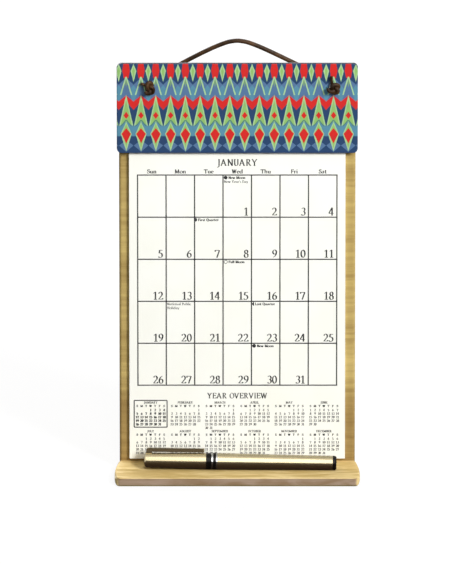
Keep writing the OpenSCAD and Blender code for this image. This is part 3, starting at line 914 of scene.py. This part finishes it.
def print_frame(sheet, x, top):
    """Frame round the small calendar of this month."""
    half = FRAME_LINE / 2
    low, high = top - FRAME_DROP, top + FRAME_RISE
    for side in (x - FRAME_REACH, x + FRAME_REACH):
        sheet.rule(side - half, side + half, low, high)
    for level in (low, high):
        sheet.rule(x - FRAME_REACH, x + FRAME_REACH, level - half, level + half)


sheet = Print()
print_heading(sheet)
print_grid(sheet)
print_days(sheet)
print_year(sheet)
sheet.finish("page_print", ink("print_dark", srgb(36, 36, 38)), ink("print_grey", srgb(84, 84, 84)))

# Stage: pale floor, white surroundings, dark cards for the pen's gloss, soft studio light

FLOOR_Z = LEDGE_LOW.z
FLOOR_SIZE = 60
FLOOR_GLOW = 0.84
FLOOR_WHITE = (0.95, 0.95, 0.95, 1)
FLOOR_BOUNCE = (0.08, 0.08, 0.08, 1)
AMBIENT = 0.07


def seen_directly(tree):
    """1 for rays that show the surroundings themselves: camera, glossy and transmission rays."""
    path = tree.nodes.new("ShaderNodeLightPath")
    result = path.outputs["Is Camera Ray"]
    for name in ("Is Glossy Ray", "Is Transmission Ray"):
        either = tree.nodes.new("ShaderNodeMath")
        either.operation = "MAXIMUM"
        tree.links.new(result, either.inputs[0])
        tree.links.new(path.outputs[name], either.inputs[1])
        result = either.outputs[0]
    return result


def make_world():
    world = bpy.data.worlds.new("studio")
    bpy.context.scene.world = world
    world.use_nodes = True
    tree = world.node_tree
    light = tree.nodes["Background"]
    light.inputs["Strength"].default_value = AMBIENT
    light.inputs["Color"].default_value = (1, 1, 1, 1)
    white = tree.nodes.new("ShaderNodeBackground")
    white.inputs["Color"].default_value = (1, 1, 1, 1)
    choose = tree.nodes.new("ShaderNodeMixShader")
    tree.links.new(seen_directly(tree), choose.inputs[0])
    tree.links.new(light.outputs[0], choose.inputs[1])
    tree.links.new(white.outputs[0], choose.inputs[2])
    tree.links.new(choose.outputs[0], tree.nodes["World Output"].inputs[0])


def flat_panel(name, points):
    data = bpy.data.meshes.new(name)
    data.from_pydata(points, [], [list(range(len(points)))])
    panel = bpy.data.objects.new(name, data)
    bpy.context.collection.objects.link(panel)
    return panel


def make_floor():
    half = FLOOR_SIZE / 2
    floor = flat_panel("floor", [(-half, -half, FLOOR_Z), (half, -half, FLOOR_Z),
                                 (half, half, FLOOR_Z), (-half, half, FLOOR_Z)])
    shader = Shader("floor")
    tree = shader.tree
    direct = seen_directly(tree)
    shader.set(Base_Color=shader.mix(direct, FLOOR_BOUNCE, FLOOR_WHITE), Roughness=0.9)
    glow = shader.add("ShaderNodeEmission")
    glow.inputs["Color"].default_value = (1, 1, 1, 1)
    choose = shader.add("ShaderNodeMixShader")
    shader.feed(choose.inputs[0], shader.math("MULTIPLY", direct, FLOOR_GLOW))
    shader.feed(choose.inputs[1], shader.surface.outputs[0])
    shader.feed(choose.inputs[2], glow.outputs[0])
    tree.links.new(choose.outputs[0], tree.nodes["Material Output"].inputs[0])
    dress(floor, shader.material)


def make_lamp(name, place, target, size, power):
    data = bpy.data.lights.new(name, "AREA")
    data.shape = "RECTANGLE"
    data.size, data.size_y = size
    data.energy = power
    lamp = bpy.data.objects.new(name, data)
    lamp.location = place
    lamp.rotation_euler = (Vector(target) - Vector(place)).to_track_quat("-Z", "Y").to_euler()
    lamp.visible_camera = False
    bpy.context.collection.objects.link(lamp)


DISH_FROM_PAD = 12.1 * MM
DISH_DEPTH = 1.5 * MM
CARD_COLOUR = srgb(56, 37, 20)
CARD_REACH = 1.5
CARD_FAR = -3.0
CARD_HEIGHT = 0.42
CARD_OVER_LEDGE = 0.3 * MM
CARD_OVER_FLOOR = 2 * MM


def make_dark_cards():
    """Dark cards on the ledge, on the floor and upright in front, which only reflections show.

    They are for the pen, whose gloss is dark low down in the photograph.
    """
    left, right = LEDGE_LOW.x, LEDGE_HIGH.x
    ledge_end, ledge_top = LEDGE_LOW.y, LEDGE_HIGH.z + CARD_OVER_LEDGE
    dish, dish_bottom = PAD_LOW.y - DISH_FROM_PAD, ledge_top - DISH_DEPTH
    reach, low, high = CARD_REACH, FLOOR_Z + CARD_OVER_FLOOR, FLOOR_Z + CARD_HEIGHT
    far_edge = [(-reach, CARD_FAR, low), (reach, CARD_FAR, low)]
    cards = {
        "ledge_card": [(right, dish, dish_bottom), (left, dish, dish_bottom),
                       (left, ledge_end, ledge_top), (right, ledge_end, ledge_top)],
        "floor_card": far_edge + [(reach, ledge_end, low), (-reach, ledge_end, low)],
        "upright_card": far_edge + [(reach, CARD_FAR, high), (-reach, CARD_FAR, high)],
    }
    shader = Shader("dark_card")
    shader.set(Base_Color=CARD_COLOUR, Roughness=0.9)
    for name, points in cards.items():
        card = flat_panel(name, points)
        card.visible_camera = False
        card.visible_diffuse = False
        card.visible_shadow = False
        dress(card, shader.material)


PEN_PLACE = Vector((0, -0.023, -0.318))
SOFTBOX_ELEVATION = math.radians(39)
SOFTBOX_DISTANCE = 1.6
SOFTBOX_WAY = Vector((0, -math.cos(SOFTBOX_ELEVATION), math.sin(SOFTBOX_ELEVATION)))
SOFTBOX_PLACE = PEN_PLACE + SOFTBOX_DISTANCE * SOFTBOX_WAY
PART_MIDDLE = (0, 0, -0.17)
BEHIND_PART = (0, 0.7, FLOOR_Z)

make_world()
make_floor()
make_dark_cards()
make_lamp("softbox", SOFTBOX_PLACE, PEN_PLACE, size=(0.3, 1.6), power=5.2)
make_lamp("key", (2.1, -2.55, 1.75), PART_MIDDLE, size=(1.1, 1.1), power=166)
make_lamp("overhead", (0, 0, 2.0), (0, 0, 0), size=(3, 3), power=14)
make_lamp("backdrop", (0, 1.5, 1.6), BEHIND_PART, size=(2, 1), power=26)
make_lamp("back_fill", (-0.9, 2.6, 0.5), PART_MIDDLE, size=(2, 2), power=60)

bpy.context.scene.view_settings.view_transform = "Standard"
